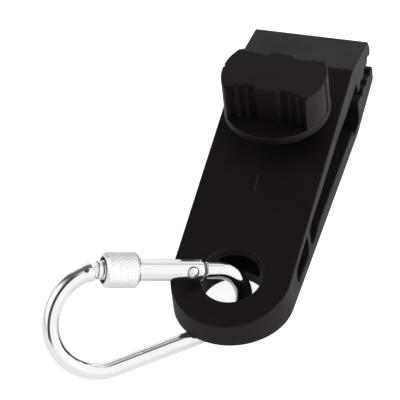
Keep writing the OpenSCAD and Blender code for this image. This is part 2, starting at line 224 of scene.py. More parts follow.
def cylinder(name, low, high, radius, axis="Z", sides=64, at=(0, 0, 0)):
    """A plain round solid from low to high along an axis, moved to a point."""
    piece = turned(name, [(low, 0), (low, radius), (high, radius), (high, 0)], axis, sides)
    piece.data.transform(Matrix.Translation(at))
    return piece


def settle(piece):
    """Gives a piece the mesh that its modifiers make, and takes them off."""
    bpy.context.view_layer.update()
    shown = piece.evaluated_get(bpy.context.evaluated_depsgraph_get())
    made = bpy.data.meshes.new_from_object(shown)
    piece.modifiers.clear()
    piece.data = made


def carve(piece, tool, how="DIFFERENCE"):
    """Cuts a piece with a tool, joins them or keeps what they share, and removes the tool."""
    cutter = piece.modifiers.new("carve", "BOOLEAN")
    cutter.operation = how
    cutter.object = tool
    cutter.solver = "EXACT"
    settle(piece)
    bpy.data.objects.remove(tool)


def merged(piece):
    """A working mesh of a piece, with its double points merged."""
    work = bmesh.new()
    work.from_mesh(piece.data)
    bmesh.ops.remove_doubles(work, verts=work.verts, dist=MERGE)
    return work


def soften(piece, width, weight, steps=3, sharp=28):
    """Bevels each edge sharper than sharp degrees by width times weight(middle of the edge)."""
    work = merged(piece)
    bmesh.ops.dissolve_limit(work, angle_limit=math.radians(0.4), verts=work.verts, edges=work.edges)
    layers = work.edges.layers.float
    weights = layers.get("bevel_weight_edge") or layers.new("bevel_weight_edge")
    count = 0
    for edge in work.edges:
        if len(edge.link_faces) == 2 and edge.calc_face_angle() > math.radians(sharp):
            edge[weights] = weight((edge.verts[0].co + edge.verts[1].co) / 2)
            count += edge[weights] > 0
    work.to_mesh(piece.data)
    work.free()
    bevel = piece.modifiers.new("soften", "BEVEL")
    bevel.limit_method = "WEIGHT"
    bevel.width = width
    bevel.segments = steps
    bevel.use_clamp_overlap = False
    settle(piece)
    print(piece.name, "softened edges:", count)


def smooth(piece, angle):
    """Smooth shading that keeps edges sharper than angle and large faces flat, without slivers."""
    work = merged(piece)
    bmesh.ops.dissolve_degenerate(work, dist=MERGE, edges=work.edges)
    work.to_mesh(piece.data)
    work.free()
    piece.data.shade_smooth()
    piece.data.set_sharp_from_angle(angle=math.radians(angle))
    flatten = piece.modifiers.new("flatten", "WEIGHTED_NORMAL")
    flatten.keep_sharp = True
    settle(piece)


def shade_where(piece, where, finish, inside):
    """Gives a second finish to the faces whose middle, in a frame's millimetres, passes a test."""
    piece.data.materials.append(finish)
    back = (where @ Matrix.Scale(MM, 4)).inverted()
    count = 0
    for face in piece.data.polygons:
        if inside(back @ face.center):
            face.material_index = len(piece.data.materials) - 1
            count += 1
    print(piece.name, "faces with a second finish:", count)


def place(piece, where, finish, angle=35):
    """Smooths a piece drawn in millimetres, moves it into its frame and gives it its finish."""
    smooth(piece, angle)
    piece.data.transform(where @ Matrix.Scale(MM, 4))
    piece.data.materials.clear()
    piece.data.materials.append(finish)
    print(piece.name, "has", len(piece.data.polygons), "faces")


# %% [markdown]
# ## Helpers for node trees
# Finishes and repeated shapes are node trees. Writing each link out by hand hides the idea behind the
# plumbing, so three small helpers, bound to the tree of each cell, do it: put adds a shader node, geo a
# geometry node, and do one step of arithmetic. A node given as an input stands for its first output.

# %% Define the node helpers
SIGNS = {"+": "ADD", "-": "SUBTRACT", "*": "MULTIPLY", "/": "DIVIDE"}


def wire(tree, source, socket):
    """Links an output, or a node's first output, to a socket."""
    tree.links.new(source.outputs[0] if isinstance(source, bpy.types.Node) else source, socket)


def add_node(tree, kind, inputs=None, **settings):
    """A node of a tree with its settings, and its inputs set to values or wired."""
    node = tree.nodes.new(kind)
    for name, value in settings.items():
        setattr(node, name, value)
    for key, value in (inputs or {}).items():
        if isinstance(value, (bpy.types.Node, bpy.types.NodeSocket)):
            wire(tree, value, node.inputs[key])
        else:
            node.inputs[key].default_value = value
    return node


def calc(tree, sign, *values):
    """One Math node; sign is a sign of arithmetic or the name of another operation."""
    operation = SIGNS.get(sign, sign)
    return add_node(tree, "ShaderNodeMath", dict(enumerate(values)), operation=operation)


def tree_tools(tree):
    """The helpers put, do and geo, bound to one tree."""

    def put(kind, inputs=None, **settings):
        return add_node(tree, "ShaderNode" + kind, inputs, **settings)

    def geo(kind, inputs=None, **settings):
        return add_node(tree, "GeometryNode" + kind, inputs, **settings)

    return put, partial(calc, tree), geo


def shape_tree(name, numbers):
    """A Geometry Nodes tree with named numbers; returns it, its inputs and its node helpers."""
    tree = bpy.data.node_groups.new(name, "GeometryNodeTree")
    tree.interface.new_socket("Geometry", in_out="INPUT", socket_type="NodeSocketGeometry")
    for label, value in numbers.items():
        kind = "NodeSocketInt" if isinstance(value, int) else "NodeSocketFloat"
        tree.interface.new_socket(label, in_out="INPUT", socket_type=kind).default_value = value
    tree.interface.new_socket("Finish", in_out="INPUT", socket_type="NodeSocketMaterial")
    tree.interface.new_socket("Geometry", in_out="OUTPUT", socket_type="NodeSocketGeometry")
    return tree, tree.nodes.new("NodeGroupInput").outputs, *tree_tools(tree)


def close_tree(tree, given, geometry):
    """Ends a shape tree in Realize Instances and Set Material."""
    real = add_node(tree, "GeometryNodeRealizeInstances", {"Geometry": geometry})
    painted = add_node(tree, "GeometryNodeSetMaterial", {"Geometry": real, "Material": given["Finish"]})
    add_node(tree, "NodeGroupOutput", {0: painted})


def grow(piece, tree, finish, **numbers):
    """Runs a shape tree on a piece with some of its numbers changed, and keeps the mesh it makes."""
    grower = piece.modifiers.new(tree.name, "NODES")
    grower.node_group = tree
    for socket in tree.interface.items_tree:
        if socket.in_out == "INPUT" and socket.name in numbers:
            grower[socket.identifier] = numbers[socket.name]
        if socket.in_out == "INPUT" and socket.name == "Finish":
            grower[socket.identifier] = finish
    settle(piece)


def from_axis(do, across, up):
    """The distance of a point from a turning axis."""
    return do("SQRT", do("+", do("*", across, across), do("*", up, up)))


def ranged(put, value, span, to=(0.0, 1.0), **settings):
    """Maps a value from one span to another; a span may run downwards."""
    return put("MapRange", {
        "Value": value, "From Min": span[0], "From Max": span[1], "To Min": to[0],
        "To Max": to[1]}, **settings)


def finish_tree(name, **sockets):
    """A material and its Principled shader with the given constant sockets set."""
    material = bpy.data.materials.new(name)
    material.use_nodes = True
    shader = material.node_tree.nodes["Principled BSDF"]
    for key, value in sockets.items():
        shader.inputs[key.replace("_", " ")].default_value = value
    return material, material.node_tree, shader


def wire_finish(tree, shader, colour, gloss, skin):
    """Wires what varies over a finish: its colour, its roughness and its bump."""
    for socket, source in (("Base Color", colour), ("Roughness", gloss), ("Normal", skin)):
        wire(tree, source, shader.inputs[socket])


# %% [markdown]
# ## Black nylon
# The moulding and the knob are glass-filled nylon: nearly black, a little warm, with a satin skin that
# picks up a very fine grain from the mould. A flat black would look like a hole. A broad noise varies
# the colour and the gloss by small amounts, a fine one gives the grain as bump, and one faint scuff on
# the upper face is drawn as the distance to a short line.

# %% Make the black nylon
SCUFF_FROM, SCUFF_TO = Vector((0.01122, 0.00519, 0.0173)), Vector((0.01161, 0.00064, 0.0167))
DEEP, PALE = (0.0042, 0.0029, 0.0029, 1), (0.0064, 0.0045, 0.0045, 1)
SCUFFED = (0.07, 0.066, 0.066, 1)
nylon, tree, shader = finish_tree(
    "satin_black_nylon", IOR=1.5, Specular_IOR_Level=0.24, Specular_Tint=(1.0, 0.75, 0.78, 1.0))
put, do, _ = tree_tools(tree)
spot = put("TexCoord").outputs["Object"]
cloud = put("TexNoise", {"Vector": spot, "Scale": 90.0, "Detail": 3.0})
grain = put("TexNoise", {"Vector": spot, "Scale": 2600.0, "Detail": 2.0})
tone = put("Mix", {"Factor": cloud, "A": DEEP, "B": PALE}, data_type="RGBA").outputs["Result"]
blur = ranged(put, cloud, (0.3, 0.7), (0.46, 0.56))
run = SCUFF_TO - SCUFF_FROM
off = put("VectorMath", {0: spot, 1: SCUFF_FROM}, operation="SUBTRACT")
share = put("VectorMath", {0: off, 1: run / run.length_squared}, operation="DOT_PRODUCT")
share = put("Clamp", {"Value": share.outputs["Value"]})
near = put("VectorMath", {0: run, "Scale": share}, operation="SCALE")
gap = put("VectorMath", {0: off, 1: near}, operation="DISTANCE").outputs["Value"]
scuff = ranged(put, gap, (0.00006, 0.00022), (1.0, 0.0))
scuff = do("*", scuff, cloud)
worn = put("Mix", {"Factor": scuff, "A": tone, "B": SCUFFED}, data_type="RGBA")
skin = put("Bump", {"Height": grain, "Strength": 0.16, "Distance": 0.00006})
wire_finish(tree, shader, worn.outputs["Result"], blur, skin)
print("made", nylon.name)

# %% [markdown]
# ## Metals
# The carabiner is polished aluminium rod: almost a mirror, with faint lines along the rod from drawing
# and polishing. Those lines must follow the bends, so the dressed metal pieces carry an attribute, lay,
# that holds each point as if the rod were straight, and the noise is stretched along it. The sleeve is
# duller where its knurl was cut, and the seats and gaps get painted shade: a rough dark grey. The stud
# and the rivet are plated steel, the spring and the plunger are drawn steel, and the insert is brass.

# %% Make the metals


def metal(name, colour, shade, dull, streak, bump, by_lay=True):
    """A metal whose colour and gloss vary in streaks along the piece."""
    material, tree, shader = finish_tree(name, Metallic=1.0)
    put, _, _ = tree_tools(tree)
    if by_lay:
        spot = put("Attribute", attribute_name="lay").outputs["Vector"]
    else:
        spot = put("TexCoord").outputs["Object"]
    spread = put("Mapping", {"Vector": spot, "Scale": streak})
    lines = put("TexNoise", {"Vector": spread, "Scale": 1.0, "Detail": 4.0})
    blur = ranged(put, lines, (0.3, 0.7), dull)
    ramp = put("ValToRGB", {"Fac": lines})
    first, last = ramp.color_ramp.elements
    first.position, last.position = 0.35, 0.65
    first.color, last.color = (*shade, 1), (*colour, 1)
    skin = put("Bump", {"Height": lines, "Strength": bump, "Distance": 0.00002})
    wire_finish(tree, shader, ramp, blur, skin)
    print("made", name)
    return material


polished = metal(
    "polished_aluminium", (0.93, 0.935, 0.94), (0.89, 0.895, 0.9), (0.05, 0.1), (5, 5, 0.12), 0.05)
knurled = metal(
    "knurled_aluminium", (0.95, 0.955, 0.96), (0.9, 0.905, 0.91), (0.3, 0.42), (3, 3, 2), 0.1)
plated = metal("plated_steel", (0.8, 0.8, 0.81), (0.7, 0.7, 0.71), (0.12, 0.22), (4, 4, 1), 0.1)
# A rough metal whose dark grey is painted shade, for the seats and gaps that lie in shadow.
painted_shade_metal = metal(
    "painted_shade_aluminium", (0.2, 0.2, 0.21), (0.12, 0.12, 0.125), (0.4, 0.55), (5, 5, 5), 0.1)
spring_steel = metal(
    "drawn_spring_steel", (0.6, 0.61, 0.62), (0.46, 0.47, 0.48), (0.22, 0.36), (3000, 3000, 3000), 0.1,
    by_lay=False)
brass = metal(
    "turned_brass", (0.8, 0.6, 0.26), (0.68, 0.49, 0.2), (0.2, 0.34), (900, 900, 9000), 0.1,
    by_lay=False)
for node, finish in (("thread_insert", brass), ("gate_plunger", spring_steel)):
    frame["nodes"][node].data.materials.clear()
    frame["nodes"][node].data.materials.append(finish)


def lay_along(piece, axis):
    """Stores each point, in the piece's own millimetres, as lay, with its long axis last."""
    lay = piece.data.attributes.new("lay", "FLOAT_VECTOR", "POINT")
    for i, vert in enumerate(piece.data.vertices):
        x, y, z = vert.co
        lay.data[i].vector = (y, z, x) if axis == "X" else (x, y, z)


# %% [markdown]
# ## The clip moulding
# From the side the clip is a long wedge: a thick eye end, a window, a web, and a thin lower arm that
# ends in a jaw with three notches. From above it is a bar with one round end. Modelling it face by face
# would be slow, so the side view is extruded across the width and cut by the plan, and then the eye's
# hole, the window and the screw's boss are carved. The mould softens every outer edge by about a third
# of a millimetre, and the rim of the eye by half. Along one outline the width stays the same, because a
# change at a small curve would fold the flat side.

# %% Draw the side views of the two arms
HALF_W, EYE_T, SLOPE = 15.0, 9.5, math.radians(10.9)
WEB_Y, WEB_FOOT, KNOB_Y, ARM_TOP = 18.5, 3.3, 46.9, 4.8
JAW_Y, JAW_FOOT, JAW_TOP, JAW_TIP = 67, 2.6, 8.8, 82.2
UPPER_JAW, UPPER_TEETH = 67, -10.9
TEETH, TOOTH_PITCH, NOTCH_R, LOWER_NOTCH, UPPER_NOTCH = 3, 4.0, 1.0, 79.1, 78.1


def on_face(s, n):
    """A point s along the upper face from over the eye's middle, and n out of it, in Y and Z."""
    cos, sin = math.cos(SLOPE), math.sin(SLOPE)
    return (s * cos - n * sin, EYE_T + s * sin + n * cos)


def notch_row(first, level, depth):
    """Points of a row of round notches along a jaw, from its tip backwards."""
    row = []
    for i in range(TEETH):
        for k in range(11):
            angle = math.pi * k / 10
            along = first - i * TOOTH_PITCH + NOTCH_R * math.cos(angle)
            row.append((along, level + depth * math.sin(angle)))
    return row


def face_z(y):
    """Height of the upper face over the clip's underside."""
    return EYE_T + y * math.tan(SLOPE)


# The corners of the upper arm are given along its face and out of it, each with its radius.
UPPER_UNDER = [
    (27.9, -3.5, 8), (48.2, -4.5, 5), (55.9, -5.9, 4), (UPPER_JAW, -6.8, 1.2),
    (UPPER_JAW, UPPER_TEETH, 0)]
UPPER_NOSE = [(79.9, UPPER_TEETH, 0.6), (80.7, -9.5, 0.9), (80.2, -6, 1.4), (65.9, 0, 2.5)]
ROOT_UNDER, ROOT_R = (21, -2.75), 2.6
root_under, arm_under = on_face(*ROOT_UNDER), on_face(*UPPER_UNDER[0][:2])
root_slope = (arm_under[1] - root_under[1]) / (arm_under[0] - root_under[0])
root_z = root_under[1] - (root_under[0] - WEB_Y) * root_slope
root_lean = math.atan(root_slope)
seam_z = root_z + ROOT_R * (math.tan(root_lean) - 1 / math.cos(root_lean))
root_arc = []
for k in range(11):
    angle = math.pi + (root_lean - math.pi / 2) * k / 10
    root_arc.append((WEB_Y + ROOT_R + ROOT_R * math.cos(angle), seam_z + ROOT_R * math.sin(angle), 0))
lower_side = [(-HALF_W, 0, 0), (64.5, 0, 6), (JAW_TIP, 4, 1.2), (JAW_TIP, JAW_TOP, 1.2)]
lower_side += [(y, z, 0) for y, z in notch_row(LOWER_NOTCH, JAW_TOP, -NOTCH_R)]
lower_side += [
    (JAW_Y, JAW_TOP, 0.6), (JAW_Y, JAW_FOOT, 1.0), (60.8, JAW_FOOT, 0.8), (60.8, ARM_TOP, 0.6),
    (27, ARM_TOP, 6), (22.75, WEB_FOOT, 4), (WEB_Y, WEB_FOOT, 2.6), (WEB_Y, seam_z, 0),
    (WEB_Y, face_z(WEB_Y), 0), (-HALF_W, face_z(-HALF_W), 0)]
upper_side = root_arc + [(*on_face(s, n), r) for s, n, r in UPPER_UNDER]
upper_notches = reversed(notch_row(UPPER_NOTCH, UPPER_TEETH, NOTCH_R))
upper_side += [(*on_face(s, n), 0) for s, n in upper_notches]
upper_side += [(*on_face(s, n), r) for s, n, r in UPPER_NOSE] + [(WEB_Y, face_z(WEB_Y), 0)]
print("seam between the two arms from z", round(seam_z, 2), "to", round(face_z(WEB_Y), 2))

# %% Mould the eye, the web and the lower arm
BORE_R, BOSS_R, BOSS_FOOT, BOSS_TOP, INSERT_SEAT_R = 7.7, 6.5, 2, 9, 4.32
WINDOW_FROM, WINDOW_TO, WINDOW_R, ROOF = 5.5, 16.5, 1.7, 2.4 / math.cos(SLOPE)
SOFT, EDGE_SHARE, BOSS_SHARE = 0.5, 0.6, 0.5
clip_moulding = extruded("clip_moulding", rounded_outline(lower_side), -HALF_W - 1, HALF_W + 1, "X")
end_turns = [math.pi * (1 + k / 72) for k in range(73)]
plan = [(HALF_W * math.cos(a), HALF_W * math.sin(a), 0) for a in end_turns]
plan = rounded_outline(plan + [(HALF_W, 90, 0), (-HALF_W, 90, 0)])
carve(clip_moulding, extruded("plan", plan, -5, 40, "Z"), "INTERSECT")
carve(clip_moulding, cylinder("boss", BOSS_FOOT, BOSS_TOP, BOSS_R, at=(0, KNOB_Y, 0)), "UNION")
carve(clip_moulding, cylinder("insert_seat", -1, 12, INSERT_SEAT_R, at=(0, KNOB_Y, 0)))
carve(clip_moulding, cylinder("eye_bore", -1, 20, BORE_R, sides=96))
window = [
    (WINDOW_FROM, WEB_FOOT, WINDOW_R), (WINDOW_TO, WEB_FOOT, WINDOW_R),
    (WINDOW_TO, face_z(WINDOW_TO) - ROOF, WINDOW_R),
    (WINDOW_FROM, face_z(WINDOW_FROM) - ROOF, WINDOW_R)]
carve(clip_moulding, extruded("window", rounded_outline(window), -20, 20, "X"))


def body_softness(at):
    """Share of the full softness at a point of the moulding: none on the seam, all on the eye's rim."""
    if abs(at.y - WEB_Y) < NEAR and at.z > seam_z - 0.05:
        return 0.0
    if math.hypot(at.x, at.y) < BORE_R + 0.5:
        return 1.0 if at.z < 0.05 or at.z > face_z(at.y) - 0.05 else 0.0
    return BOSS_SHARE if math.hypot(at.x, at.y - KNOB_Y) < BOSS_R + 0.5 else EDGE_SHARE


soften(clip_moulding, SOFT, body_softness)
place(clip_moulding, clip_frame, nylon)

# %% Mould the upper arm
STUD_HOLE_R, SOFT_TURN = 4, 1.3
upper_arm = extruded("upper_arm", rounded_outline(upper_side), -HALF_W, HALF_W, "X")
carve(upper_arm, cylinder("stud_hole", 0, 40, STUD_HOLE_R, at=(0, KNOB_Y, 0)))


def arm_softness(at):
    """Share of the full softness at a point of the upper arm, rising along the root from the seam."""
    if at.y < WEB_Y + NEAR:
        return 0.0
    if at.y < WEB_Y + ROOT_R and at.z < seam_z + ROOT_R + 0.5:
        turn = math.atan2(at.z - seam_z, WEB_Y + ROOT_R - at.y)
        return EDGE_SHARE * min(1, turn / SOFT_TURN)
    return EDGE_SHARE


soften(upper_arm, SOFT, arm_softness)
place(upper_arm, clip_frame, nylon)

# %% [markdown]
# ## The thumb knob
# The knob has a round flange and a waisted grip bar with round ends. On each hollow side a smooth pad
# stands in the middle between two groups of three ribs, and the far side is less hollow than the near
# one. The flange is turned, the grip is extruded from its plan, and the ribs are copies of one upright
# four-sided rib, so Geometry Nodes sets them out: a line of points is bent onto the hollow side, and
# the ribs' number, spacing and size and the hollow's waist and radius are the inputs.

# %% Turn the flange and extrude the grip
FLANGE_R, FLANGE_T, FOOT_ROUND, RIM_ROUND = 13.45, 2.2, 0.45, 0.4
GRIP_R, GRIP_TOP, CORNER_ROUND = 13.3, 12.2, 0.25
PAD_TOP, PAD_FOOT, PAD_ROUND = 2.6, 3.7, 0.35
# For the near and the far side: half the waist, the hollow's radius and the pad's height.
SIDES = {-1: (5.4, 30.0, 6.9), 1: (6.3, 90.0, 7.6)}
quarter = [(math.cos(math.pi / 12 * k), math.sin(math.pi / 12 * k)) for k in range(7)]
foot_r, rim_r, rim_z = FLANGE_R - FOOT_ROUND, FLANGE_R - RIM_ROUND, FLANGE_T - RIM_ROUND
rim = [(FOOT_ROUND - FOOT_ROUND * c, foot_r + FOOT_ROUND * n) for c, n in quarter]
rim += [(rim_z + RIM_ROUND * n, rim_r + RIM_ROUND * c) for c, n in quarter]
thumb_knob = turned("thumb_knob", [(0, 0)] + rim + [(FLANGE_T, 0)], "Z", sides=128)


def side_of_grip(side):
    """Right half of one side of the grip's plan, from its pad to its corner, and the corner's angle."""
    half, radius, pad = SIDES[side]
    middle = half + radius
    corner_y = (GRIP_R ** 2 - radius ** 2 + middle ** 2) / (2 * middle)
    corner_x = math.sqrt(GRIP_R ** 2 - corner_y ** 2)
    steps = [PAD_FOOT + (corner_x - PAD_FOOT) * k / 8 for k in range(8)]
    line = [(PAD_TOP, side * pad, PAD_ROUND)]
    line += [(x, side * (middle - math.sqrt(radius ** 2 - x ** 2)), 0) for x in steps]
    line.append((corner_x, side * corner_y, CORNER_ROUND))
    return line, math.atan2(corner_y, corner_x)


near_side, near_turn = side_of_grip(-1)
far_side, far_turn = side_of_grip(1)
end_turns = [-near_turn + (near_turn + far_turn) * k / 16 for k in range(1, 16)]
end_arc = [(GRIP_R * math.cos(a), GRIP_R * math.sin(a), 0) for a in end_turns]
half_plan = near_side + end_arc + far_side[::-1]
grip_plan = rounded_outline(half_plan + [(-x, y, r) for x, y, r in reversed(half_plan)])
grip = extruded("grip", grip_plan, rim_z, GRIP_TOP, "Z")
print("grip plan:", len(grip_plan), "points")

# %% Set out the ribs
GRIP_SOFT, RIB_SOFT = 0.35, 0.12
rib_tree, given, put, do, geo = shape_tree("grip_ribs", {
    "Ribs": 3, "Pitch": 2.5, "First": 5.6, "Radius": 0.85, "Foot": 1.8, "Height": 9.95,
    "Waist": 5.4, "Hollow": 30.0})
start = put("CombineXYZ", {"X": given["First"], "Z": given["Foot"]})
step = put("CombineXYZ", {"X": given["Pitch"]})
line = geo("MeshLine", {"Count": given["Ribs"], "Start Location": start, "Offset": step}, mode="OFFSET")
along = put("SeparateXYZ", {0: geo("InputPosition")}).outputs["X"]
squares = do("-", do("POWER", given["Hollow"], 2.0), do("POWER", along, 2.0))
rise = do("-", given["Hollow"], do("SQRT", squares))
reach = put("CombineXYZ", {"Y": do("+", given["Waist"], rise)})
bent = geo("SetPosition", {"Geometry": line, "Offset": reach})
rib = geo("MeshCylinder", {
    "Vertices": 4, "Side Segments": 1, "Radius": given["Radius"], "Depth": given["Height"]})
lift = put("CombineXYZ", {"Z": do("*", given["Height"], 0.5)})
stood = geo("Transform", {"Geometry": rib, "Translation": lift})
copies = geo("InstanceOnPoints", {"Points": bent, "Instance": stood})
close_tree(rib_tree, given, copies)
soften(grip, GRIP_SOFT, lambda at: 1.0 if at.z > GRIP_TOP - NEAR else 0.0)
for end_side, hollow_side in ((1, 1), (-1, 1), (1, -1), (-1, -1)):
    ribs = add_piece("ribs", [(0, 0, 0)], [])
    waist, hollow, _ = SIDES[hollow_side]
    grow(ribs, rib_tree, nylon, Waist=waist, Hollow=hollow)
    ribs.data.transform(Matrix.Diagonal((end_side, hollow_side, 1, 1)))
    if end_side * hollow_side < 0:
        ribs.data.flip_normals()
    soften(ribs, RIB_SOFT, lambda at: 1.0)
    carve(ribs, cylinder("grip_limit", 0, 20, GRIP_R - 0.02, sides=128), "INTERSECT")
    carve(grip, ribs, "UNION")
print("grip with ribs:", len(grip.data.polygons), "faces")

# %% Join the knob and give it the stud's seat
STUD_R, COLLAR_R, COLLAR_FROM, COLLAR_TO, PLAY = 3.0, 4.5, 3, 6, 0.06
GROOVE, KNOB_TURN = 0.8, math.radians(-2.5)
carve(thumb_knob, grip, "UNION")
for end_side in (-1, 1):
    diamond = [(GROOVE, 0), (0, GROOVE), (-GROOVE, 0), (0, -GROOVE)]
    groove = extruded("groove", diamond, FLANGE_T, 20, "Z")
    groove.data.transform(Matrix.Translation((end_side * GRIP_R, 0, 0)))
    carve(thumb_knob, groove)
stud_seat = [
    (-1, 0), (-1, STUD_R + PLAY), (COLLAR_FROM - PLAY, STUD_R + PLAY),
    (COLLAR_FROM - PLAY, COLLAR_R + PLAY), (COLLAR_TO + PLAY, COLLAR_R + PLAY), (COLLAR_TO + PLAY, 0)]
carve(thumb_knob, turned("stud_seat", stud_seat, "Z"))
place(thumb_knob, screw_frame @ Matrix.Rotation(KNOB_TURN, 4, "Z"), nylon, 40)

# %% [markdown]
# ## The threaded stud
# The knob is moulded round a steel stud with an M6 thread. A thread is a rule: the radius rises and
# falls once a pitch and shifts with the angle. A tree moves the points of a plain turned rod by that
# rule, with the pitch and depth as inputs, and fades it out at the tip and under the knob. Booleans
# with a coil would give far more faces.

# %% Roll the thread
STUD_TIP, STUD_ROWS, COLLAR_SOFT, THREAD_FLANK = -18.5216, 179, 0.2, 2.3
thread_tree, given, put, do, geo = shape_tree("rolled_thread", {
    "Pitch": 1.0, "Depth": 0.55, "From": -18.4, "To": -0.4, "Core": 1.0})
xyz = put("SeparateXYZ", {0: geo("InputPosition")}).outputs
angle = do("/", do("ARCTAN2", xyz["Y"], xyz["X"]), 2 * math.pi)
phase = do("-", do("/", xyz["Z"], given["Pitch"]), angle)
wave = do("ABSOLUTE", do("-", do("FRACT", phase), 0.5))
dip = do("-", 1.0, do("MINIMUM", 1.0, do("*", wave, THREAD_FLANK)))
fade_in = ranged(put, xyz["Z"], (given["From"], do("+", given["From"], 0.6)))
fade_out = ranged(put, xyz["Z"], (given["To"], do("-", given["To"], 0.8)))
radius = from_axis(do, xyz["X"], xyz["Y"])
outside = do("GREATER_THAN", radius, given["Core"])
cut = do("*", do("*", dip, given["Depth"]), do("*", outside, do("*", fade_in, fade_out)))
keep = do("/", do("-", radius, cut), do("MAXIMUM", radius, 0.01))
moved = put("CombineXYZ", {"X": do("*", xyz["X"], keep), "Y": do("*", xyz["Y"], keep), "Z": xyz["Z"]})
cut_rod = geo("SetPosition", {"Geometry": given["Geometry"], "Position": moved})
close_tree(thread_tree, given, cut_rod)
shank = [(STUD_TIP, 0), (STUD_TIP, 2.3), (STUD_TIP + 0.5, 2.95)]
shank += [(STUD_TIP + 0.6 + 0.1 * k, STUD_R) for k in range(STUD_ROWS)]
shank += [
    (0, STUD_R), (COLLAR_FROM, STUD_R), (COLLAR_FROM, COLLAR_R - COLLAR_SOFT),
    (COLLAR_FROM + COLLAR_SOFT, COLLAR_R), (COLLAR_TO - COLLAR_SOFT, COLLAR_R),
    (COLLAR_TO, COLLAR_R - COLLAR_SOFT), (COLLAR_TO, 0)]
clamp_screw = turned("clamp_screw", shank, "Z", sides=40)
grow(clamp_screw, thread_tree, plated)
lay_along(clamp_screw, "Z")
place(clamp_screw, screw_frame, plated, 50)

# %% [markdown]
# ## The carabiner's frame
# The frame is one round rod, bent into a long loop: a wide bend with the nose, a straight spine, a
# narrow bend through the eye, and a short stub with the hinge tongue. A rod along a path is what
# Geometry Nodes does best: the path is drawn as a line of points, closer together at the nose, and the
# tree sweeps a circle along it, swells it to a collar at the nose, and stores lay, so the polishing
# lines follow the bends.

# %% Draw the rod's path
NOSE_TURN, STUB_L = math.radians(13.6), 3.5
NOSE_AT = math.pi / 2 - TAPER + NOSE_TURN
NOSE_STEPS = (0.3, 0.6, 0.9, 1.2, 1.5, 1.7, 1.8, 1.95, 2.1, 2.2, 2.3)


def on_bend(x, radius, angle):
    """A point at an angle on a bend about (x, 0), in the loop's plane."""
    return (x + radius * math.cos(angle), radius * math.sin(angle), 0)


def bend_points(x, radius, start, stop, count):
    """Evenly spaced points along a bend."""
    return [on_bend(x, radius, start + (stop - start) * k / count) for k in range(count + 1)]


path = bend_points(-LOOP_L, LOOP_R, NOSE_AT, 1.5 * math.pi + TAPER, 72)
path += bend_points(0, NARROW_R, TAPER - math.pi / 2, math.pi / 2 - TAPER, 48)
path.append(tuple(Matrix.Rotation(-TAPER, 3, "Z") @ Vector((-STUB_L, NARROW_R, 0))))
fine = [on_bend(-LOOP_L, LOOP_R, NOSE_AT + s / LOOP_R) for s in NOSE_STEPS]
later = [p for p in path[1:] if (Vector(p) - Vector(path[0])).length > 2.5]
path = path[:1] + fine + later
rod_length = sum((Vector(a) - Vector(b)).length for a, b in zip(path, path[1:]))
print("rod length:", round(rod_length, 1), "mm")

# %% Sweep the rod
rod_tree, given, put, do, geo = shape_tree("bent_rod", {
    "Rod diameter": 4.2, "Collar diameter": 4.7, "Collar length": 1.2, "Collar slope": 1.0,
    "Sides": 40})


def store(geometry, name, value, kind="FLOAT"):
    """Stores a value on the points of a geometry as a named attribute."""
    return geo(
        "StoreNamedAttribute", {"Geometry": geometry, "Name": name, "Value": value}, data_type=kind,
        domain="POINT")


def recall(name, kind="FLOAT"):
    """Reads a named attribute back."""
    return geo("InputNamedAttribute", {"Name": name}, data_type=kind)


line = geo("MeshToCurve", {"Mesh": given["Geometry"]})
along = geo("SplineParameter").outputs["Length"]
slope_end = do("+", given["Collar length"], given["Collar slope"])
swell = ranged(
    put, along, (slope_end, given["Collar length"]), (given["Rod diameter"], given["Collar diameter"]))
sized = store(store(line, "along", along), "width", swell)
ring = geo("CurvePrimitiveCircle", {"Resolution": given["Sides"], "Radius": 0.5})
ring_kept = store(ring, "ring", geo("InputPosition"), "FLOAT_VECTOR")
rod = geo("CurveToMesh", {
    "Curve": sized, "Profile Curve": ring_kept, "Scale": recall("width"), "Fill Caps": True})
ring_xyz = put("SeparateXYZ", {0: recall("ring", "FLOAT_VECTOR")}).outputs
straight = put("CombineXYZ", {
    "X": do("*", ring_xyz["X"], given["Rod diameter"]),
    "Y": do("*", ring_xyz["Y"], given["Rod diameter"]), "Z": recall("along")})
close_tree(rod_tree, given, store(rod, "lay", straight, "FLOAT_VECTOR"))
carabiner_rod = add_object("carabiner_rod", bpy.data.meshes.new("carabiner_rod"))
carabiner_rod.data.from_pydata(path, [(i, i + 1) for i in range(len(path) - 1)], [])
grow(carabiner_rod, rod_tree, polished)
print("rod:", len(carabiner_rod.data.polygons), "faces")

# %% Add the hinge tongue and cut the nose slot
STRAIGHT_L, ROD_SOFT = 29.0108, 0.35
NOSE_X = STRAIGHT_L + (LOOP_R - 2.5) * math.sin(NOSE_TURN)
TIP_X = NOSE_X - 0.3
TONGUE_T, TONGUE_ROOT, CAM_X, CAM_H, PIN_HOLE_R = 1.9, -1.4, -RIVET_SET - 2.0, 1.5, 1.06
SLIT_FROM, SLIT_TO, SLIT_TOP, SLIT_HALF = -TIP_X - 2.1, -TIP_X + 4.7, 0.9, 0.72
to_gate = Matrix.Rotation(-TAPER, 4, "Z") @ Matrix.Translation((0, NARROW_R, 0))
tongue_plan = rounded_outline([
    (CAM_X, -CAM_H, 0.3), (CAM_X, CAM_H, 0.3), (TONGUE_ROOT, CAM_H, 0), (TONGUE_ROOT, -CAM_H, 0)])
tongue = extruded("tongue", tongue_plan, -TONGUE_T / 2, TONGUE_T / 2, "Z")
carve(tongue, cylinder("pin_hole", -5, 5, PIN_HOLE_R, sides=32, at=(-RIVET_SET, 0, 0)))
slot_plan = [(SLIT_FROM, -8), (SLIT_TO, -8), (SLIT_TO, SLIT_TOP), (SLIT_FROM, SLIT_TOP)]
latch_slot = extruded("latch_slot", slot_plan, -SLIT_HALF, SLIT_HALF, "Z")
for tool in (tongue, latch_slot):
    tool.data.transform(to_gate)
soften(carabiner_rod, ROD_SOFT, lambda at: 1.0, sharp=60)
carve(carabiner_rod, latch_slot)
carve(carabiner_rod, tongue, "UNION")
